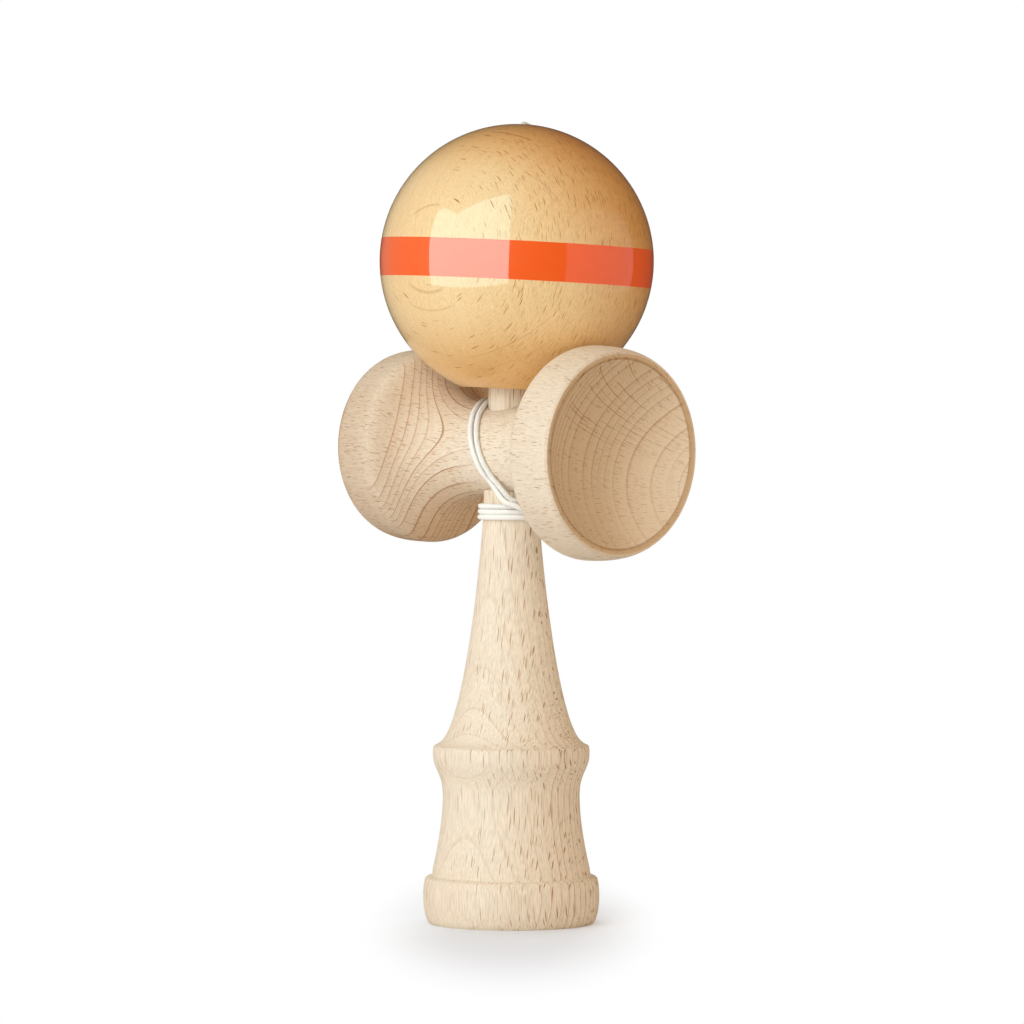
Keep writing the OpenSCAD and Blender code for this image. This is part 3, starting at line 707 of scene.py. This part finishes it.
# one long ray mark on the ball: the arc through three spots, each given across and up the ball's front
markLine, markIn, markOut = figureGroup(
    "rayMark", ("Vector", "Axis", "Middle"), ("Level", "Width", "Reach"), ("Mark",))
offLine = sums(markLine, "SUBTRACT", dot(markLine, markIn["Vector"], markIn["Axis"]), markIn["Level"])
offShare = sums(markLine, "DIVIDE", sums(markLine, "ABSOLUTE", offLine), markIn["Width"])
fromMiddle = lengthNode(markLine, vectors(markLine, "SUBTRACT", markIn["Vector"], markIn["Middle"]))
farShare = sums(markLine, "DIVIDE", fromMiddle, markIn["Reach"])
markLine.links.new(times(markLine, ease(markLine, offShare, 1.0, 0.3), ease(markLine, farShare, 1.0, 0.6)),
                   markOut["Mark"])
rayMarks = (((-0.75, 0.315), (-0.65, 0.375), (-0.53, 0.385), 0.24),
            ((-0.78, -0.165), (-0.65, -0.24), (-0.5, -0.195), 0.26),
            ((-0.77, -0.315), (-0.62, -0.37), (-0.42, -0.315), 0.2),
            ((-0.27, 0.925), (-0.02, 0.9), (0.13, 0.845), 0.9),
            ((-0.62, 0.74), (-0.36, 0.79), (-0.1, 0.745), 0.2),
            ((-0.45, -0.715), (-0.05, -0.61), (0.32, -0.35), 0.25),
            ((-0.3, -0.8), (0.0, -0.72), (0.3, -0.55), 0.2),
            ((0.05, 0.62), (0.2, 0.52), (0.33, 0.36), 0.2))
rayMark = {"width": 0.0055, "tone": colour(160, 84, 20)}
# the ball's amber tints, partly the varnish's own amber and partly painted shade: on one side, below and at
# the top
ballAmberAndPaintedShade = {"far": (0.8, 0.5, 0.22), "low": (0.92, 0.72, 0.48), "high": (0.94, 0.77, 0.56)}
ballPaintedShadeWay = (rightSide * 0.8 + up * 0.4 - frontSide * 0.2).normalized()


def frontSpot(right, high):
    return rightSide * right + up * high + frontSide * math.sqrt(max(0.0, 1.0 - right * right - high * high))


def ballFinishAndPaintedShade(tree, tone, place):  # long ray marks, then amber that deepens on one side and above and below, partly the varnish's amber and partly painted shade
    spot = vectors(tree, "SUBTRACT", place, ballSize["at"] * mm)
    spot = scaled(tree, spot, 1000.0 / ballSize["r"])
    for *spots, share in rayMarks:
        first, middle, last = [frontSpot(*pair) for pair in spots]
        axis = (middle - first).cross(last - middle).normalized()
        mark = node(tree, "Group", {"Vector": spot, "Axis": axis, "Level": axis.dot(middle),
                                    "Width": rayMark["width"], "Middle": middle,
                                    "Reach": (last - middle).length}, node_tree=markLine)
        tone = blendColour(tree, times(tree, mark.outputs[0], share), tone, rayMark["tone"])
    height = node(tree, "SeparateXYZ", {0: spot}).outputs[2]
    zones = {"far": ease(tree, dot(tree, spot, ballPaintedShadeWay), -0.1, 1.0), "low": ease(tree, height, -0.35, -0.95),
             "high": ease(tree, height, 0.55, 1.0)}
    for zone, tint in ballAmberAndPaintedShade.items():
        tone = tinted(tree, zones[zone], tone, tint)
    return tone


def varnish(shader, ior):
    shader.inputs["Coat Weight"].default_value = 1.0
    shader.inputs["Coat Roughness"].default_value = 0.03
    shader.inputs["Coat IOR"].default_value = ior


# the ball's beech is yellower under its varnish
ballFace = frontSide * 0.6 - rightSide * 0.8
ballLook = dict(rawBeech, pale=colour(247, 219, 168), warm=colour(245, 208, 150), late=colour(229, 179, 113),
                ring=colour(176, 112, 52), fleckTint=(0.52, 0.28, 0.1), axial=up + rightSide * 0.1,
                radial=ballFace.cross(up), ringGap=3.0, pithDepth=160.0, ringWarp=4.0, ringShare=0.06,
                lateShare=1.0, fleckCell=(4.0, 0.3, 4.2), fleckMix=0.95, fineShare=0.55, fibre=0.1,
                relief=0.0, rough=0.45, shift=(3.0, 0.0, 1.0), fleckSide=(rightSide, -16.0, 8.0, 0.03, 0.62))
varnished, ballShader = beechMaterial("varnishedBeech", ballLook, ballFinishAndPaintedShade)
varnish(ballShader, 1.42)
ballWood.data.materials.append(varnished)


def plainMaterial(name, rough):
    made = bpy.data.materials.new(name)
    made.use_nodes = True
    shader = made.node_tree.nodes["Principled BSDF"]
    shader.inputs["Roughness"].default_value = rough
    return made, made.node_tree, shader, node(made.node_tree, "TexCoord").outputs["Object"]


paint, paintTree, paintShader, paintSpot = plainMaterial("orangePaint", 0.4)
paintTone = noiseAt(paintTree, paintSpot, (240.0, 240.0, 700.0), 3.0)
paintTone = blendColour(paintTree, paintTone, colour(255, 104, 34), colour(255, 96, 24))
paintTree.links.new(paintTone, paintShader.inputs["Base Color"])
paintShader.inputs["Specular IOR Level"].default_value = 0.1
varnish(paintShader, 1.68)
bandPaint.data.materials.append(paint)

# soft white string with faint fibres
yarn, yarnTree, yarnShader, yarnSpot = plainMaterial("whiteYarn", 0.85)
fuzz = node(yarnTree, "TexNoise", {"Vector": yarnSpot, "Scale": 5200.0, "Detail": 2.0}).outputs[0]
yarnTone = blendColour(yarnTree, fuzz, colour(255, 254, 250), colour(247, 245, 239))
yarnTree.links.new(yarnTone, yarnShader.inputs["Base Color"])
yarnRelief = node(yarnTree, "Bump", {"Strength": 0.3, "Distance": 0.00005, "Height": fuzz})
yarnTree.links.new(yarnRelief.outputs[0], yarnShader.inputs["Normal"])
for piece in (stringWound, stringTail, anchorKnot, beadKnot):
    piece.data.materials.append(yarn)
print("materials made")

# each piece rides on its body and stands for its CAD nodes
for piece, body, stands, slot in (
        (kenWood, "ken", ("ken",), "beech"), (crosspieceWood, "ken", ("crosspiece",), "beech"),
        (ballWood, "ball", ("ball",), "varnished_beech"), (bandPaint, "ball", ("paint_band",), "band_paint"),
        (beadWood, "string_end", ("bead",), "bead_wood"), (beadKnot, "string_end", ("bead_knot",), "cord"),
        (anchorKnot, "ken", ("anchor_knot",), "cord"),
        (stringWound, "ken", ("string_anchor", "string_winding"), "cord")):
    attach(piece, body)
    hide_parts(*stands)
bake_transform(stringTail)
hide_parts("string_tail", "string_in_ball")

# the floor keeps a soft shadow near the foot and turns plain white further out
floorLook = {"half": 4.0, "bounce": (0.72, 0.72, 0.72, 1.0), "seen": (0.86, 0.91, 0.99, 1.0), "narrow": 4.5,
             "near": 0.055, "far": 0.155}
white = (1.0, 1.0, 1.0, 1.0)
floorShape = bmesh.new()
bmesh.ops.create_grid(floorShape, x_segments=2, y_segments=2, size=floorLook["half"])
floor = placed("floor", meshFrom("floor", floorShape))
floorPaint = bpy.data.materials.new("floorWhite")
floorPaint.use_nodes = True
floorTree = floorPaint.node_tree
floorTree.nodes.clear()
seen = node(floorTree, "LightPath").outputs["Is Camera Ray"]
floorTone = blendColour(floorTree, seen, floorLook["bounce"], floorLook["seen"])
floorDull = node(floorTree, "BsdfDiffuse", {"Color": floorTone})
floorGlow = node(floorTree, "Emission", {"Color": white, "Strength": 1.0})
floorSpot = node(floorTree, "TexCoord").outputs["Object"]
floorAcross = dot(floorTree, floorSpot, rightSide * floorLook["narrow"])
floorDeep = dot(floorTree, floorSpot, frontSide)
floorFar = lengthNode(floorTree, node(floorTree, "CombineXYZ", {0: floorAcross, 1: floorDeep}).outputs[0])
floorShare = times(floorTree, ease(floorTree, floorFar, floorLook["near"], floorLook["far"]), seen)
floorMix = node(floorTree, "MixShader", {0: floorShare, 1: floorDull.outputs[0], 2: floorGlow.outputs[0]})
floorTree.links.new(floorMix.outputs[0], node(floorTree, "OutputMaterial").inputs[0])
floor.visible_glossy = False
floor.data.materials.append(floorPaint)

# white surroundings; the wood is lit by a warm room, and the varnish mirrors a dim one
room = {"left": (1.0, 0.92, 0.82, 1.0), "right": (0.86, 0.68, 0.49, 1.0), "behind": 0.54, "before": 0.72,
        "above": 0.75, "dim": (0.06, 0.055, 0.05, 1.0), "dimLeft": (0.34, 0.32, 0.28, 1.0)}
world = bpy.data.worlds.new("studio")
scene.world = world
world.use_nodes = True
worldTree = world.node_tree
worldTree.nodes.clear()
rayKind = node(worldTree, "LightPath").outputs
skyWay = node(worldTree, "TexCoord").outputs["Generated"]
toward = dot(worldTree, skyWay, frontSide)
rightward = dot(worldTree, skyWay, rightSide)
skyHeight = node(worldTree, "SeparateXYZ", {0: skyWay}).outputs[2]
roomLight = times(worldTree, ease(worldTree, toward, -0.9, 0.9, room["behind"], room["before"]),
                  ease(worldTree, skyHeight, 0.2, 1.0, 1.0, room["above"]))
roomTone = blendColour(worldTree, ease(worldTree, rightward, -0.3, 0.8), room["left"], room["right"])
roomTone = scaled(worldTree, roomTone, roomLight)
dimTone = blendColour(worldTree, ease(worldTree, rightward, -0.2, -0.6), room["dim"], room["dimLeft"])
roomTone = blendColour(worldTree, rayKind["Is Glossy Ray"], roomTone, dimTone)
shown = sums(worldTree, "MAXIMUM", rayKind["Is Camera Ray"], rayKind["Is Transmission Ray"])
backTone = blendColour(worldTree, shown, roomTone, white)
backing = node(worldTree, "Background", {"Color": backTone, "Strength": 1.0})
worldTree.links.new(backing.outputs[0], node(worldTree, "OutputWorld").inputs[0])


def lamp(name, across, high, near, far, size, power, tint=(1.0, 1.0, 1.0), aim=0.7):
    way = (rightSide * across + up * high + frontSide * near).normalized()
    data = bpy.data.lights.new(name, "AREA")
    data.shape = "RECTANGLE"
    data.size, data.size_y = size
    data.energy = power
    data.color = tint
    made = placed(name, data)
    made.location = ballSize["at"] * mm * aim + way * far
    made.rotation_euler = way.to_track_quat("Z", "Y").to_euler()
    made.visible_camera = False
    made.visible_glossy = False
    return made


lamp("keyLamp", across=-0.6, high=0.32, near=0.73, far=1.0, size=(1.0, 1.0), power=6.2,
     tint=(0.95, 0.98, 1.04))
lamp("sideLamp", across=0.85, high=0.15, near=0.3, far=1.0, size=(0.6, 0.8), power=1.4,
     tint=(1.0, 0.83, 0.62))
# a high lamp from behind that lights the floor and not the wood
floorOnly = bpy.data.collections.new("floorOnly")
floorOnly.objects.link(floor)
floorLamp = lamp("floorLamp", across=0.0, high=0.72, near=-0.69, far=1.2, size=(1.8, 1.4), power=9.5)
floorLamp.light_linking.receiver_collection = floorOnly


def mirrored(across, high):  # the way a ray leaves a point on the ball's front at this share of its radius
    out = Vector((across, high, math.sqrt(max(0.0, 1.0 - across * across - high * high))))
    return (2 * out.z * out.x, 2 * out.z * out.y, 2 * out.z * out.z - 1.0)


def softbox(name, spots, strength, tint, far=1.1):  # a bright panel that only reflections see
    shape = bmesh.new()
    corners = []
    for x, z, y in [mirrored(*spot) for spot in spots]:
        way = (rightSide * x + up * z + frontSide * y).normalized()
        corners.append(shape.verts.new(ballSize["at"] * mm + way * far))
    bmesh.ops.contextual_create(shape, geom=corners)
    mesh = meshFrom(name, shape)
    panel = placed(name, mesh)
    glow = bpy.data.materials.new(name)
    glow.use_nodes = True
    glow.node_tree.nodes.clear()
    light = node(glow.node_tree, "Emission", {"Strength": strength, "Color": tint + (1.0,)})
    glow.node_tree.links.new(light.outputs[0], node(glow.node_tree, "OutputMaterial").inputs[0])
    mesh.materials.append(glow)
    panel.visible_camera = False
    panel.visible_diffuse = False
    panel.visible_shadow = False
    panel.visible_transmission = False


softbox("bigSoftbox", (
    (-0.61, -0.17), (-0.625, 0.03), (-0.555, 0.36), (-0.515, 0.377), (-0.42, 0.327), (-0.035, 0.465),
    (-0.045, 0.2), (-0.06, -0.17)), 4.3, (0.45, 1.04, 1.08))
softbox("sideSoftbox", (
    (0.33, -0.2), (0.33, 0.25), (0.53, 0.4), (0.63, 0.33), (0.70, 0.36), (0.81, 0.2), (0.81, -0.2)),
        0.58, (0.9, 0.9, 1.0))
scene.view_settings.view_transform = "Standard"
print("lamps set")
